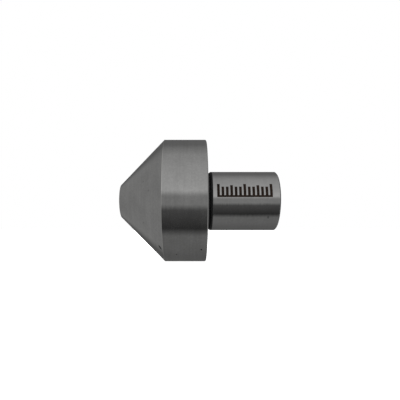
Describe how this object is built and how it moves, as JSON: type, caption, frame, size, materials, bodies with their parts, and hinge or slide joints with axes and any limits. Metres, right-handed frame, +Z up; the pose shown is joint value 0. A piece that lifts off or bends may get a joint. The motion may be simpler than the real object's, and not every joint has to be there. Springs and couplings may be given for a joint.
{
  "type": "live center",
  "caption": "Straight-shank live center with a large bull-nose 90 degree cone head that turns on ball bearings inside the parallel shank housing.",
  "frame": {"origin": "centre of the shank's rear end face, on the spindle axis", "axes": "+X along the spindle axis, out of the shank's rear end, so the nose points along -X; +Z up; +Y is the side away from the viewer of the front view"},
  "size_m": [0.084, 0.066, 0.066],
  "materials": {
    "head_steel": "satin",
    "shank_steel": "polished",
    "spindle_steel": "satin",
    "black_rubber": "matte",
    "black_oxide": "satin",
    "bearing_steel": "polished",
    "ball_steel": "polished",
    "nylon_cage": "matte",
    "brass_cage": "satin",
    "spring_steel": "satin"
  },
  "bodies": {
    "housing": {"shank_housing": "shank_steel", "front_cap_ring": "black_oxide", "end_plug": "black_oxide", "end_plug_oring": "black_rubber", "front_outer_ring": "bearing_steel", "front_shields": "black_rubber", "thrust_housing_washer": "bearing_steel", "rear_outer_ring": "bearing_steel", "rear_shields": "black_rubber"},
    "rotor": {"bull_nose_head": "head_steel", "spindle": "spindle_steel", "dust_seal": "black_rubber", "front_inner_ring": "bearing_steel", "thrust_shaft_washer": "bearing_steel", "rear_inner_ring": "bearing_steel", "lock_washer": "spring_steel", "lock_nut": "black_oxide"},
    "front_ball_set": {"front_balls": "ball_steel", "front_cage": "nylon_cage"},
    "thrust_ball_set": {"thrust_balls": "ball_steel", "thrust_cage": "brass_cage"},
    "rear_ball_set": {"rear_balls": "ball_steel", "rear_cage": "nylon_cage"}
  },
  "joints": [
    {"name": "head_spin", "type": "hinge", "parent": "housing", "child": "rotor", "pos_m": [0, 0, 0], "axis": [1, 0, 0], "continuous": true},
    {"name": "front_cage_spin", "type": "hinge", "parent": "housing", "child": "front_ball_set", "pos_m": [0, 0, 0], "axis": [1, 0, 0], "continuous": true},
    {"name": "thrust_cage_spin", "type": "hinge", "parent": "housing", "child": "thrust_ball_set", "pos_m": [0, 0, 0], "axis": [1, 0, 0], "continuous": true},
    {"name": "rear_cage_spin", "type": "hinge", "parent": "housing", "child": "rear_ball_set", "pos_m": [0, 0, 0], "axis": [1, 0, 0], "continuous": true}
  ],
  "couplings": [
    {"joint": "front_cage_spin", "follows": "head_spin", "ratio": 0.4186},
    {"joint": "thrust_cage_spin", "follows": "head_spin", "ratio": 0.5},
    {"joint": "rear_cage_spin", "follows": "head_spin", "ratio": 0.4118}
  ]
}
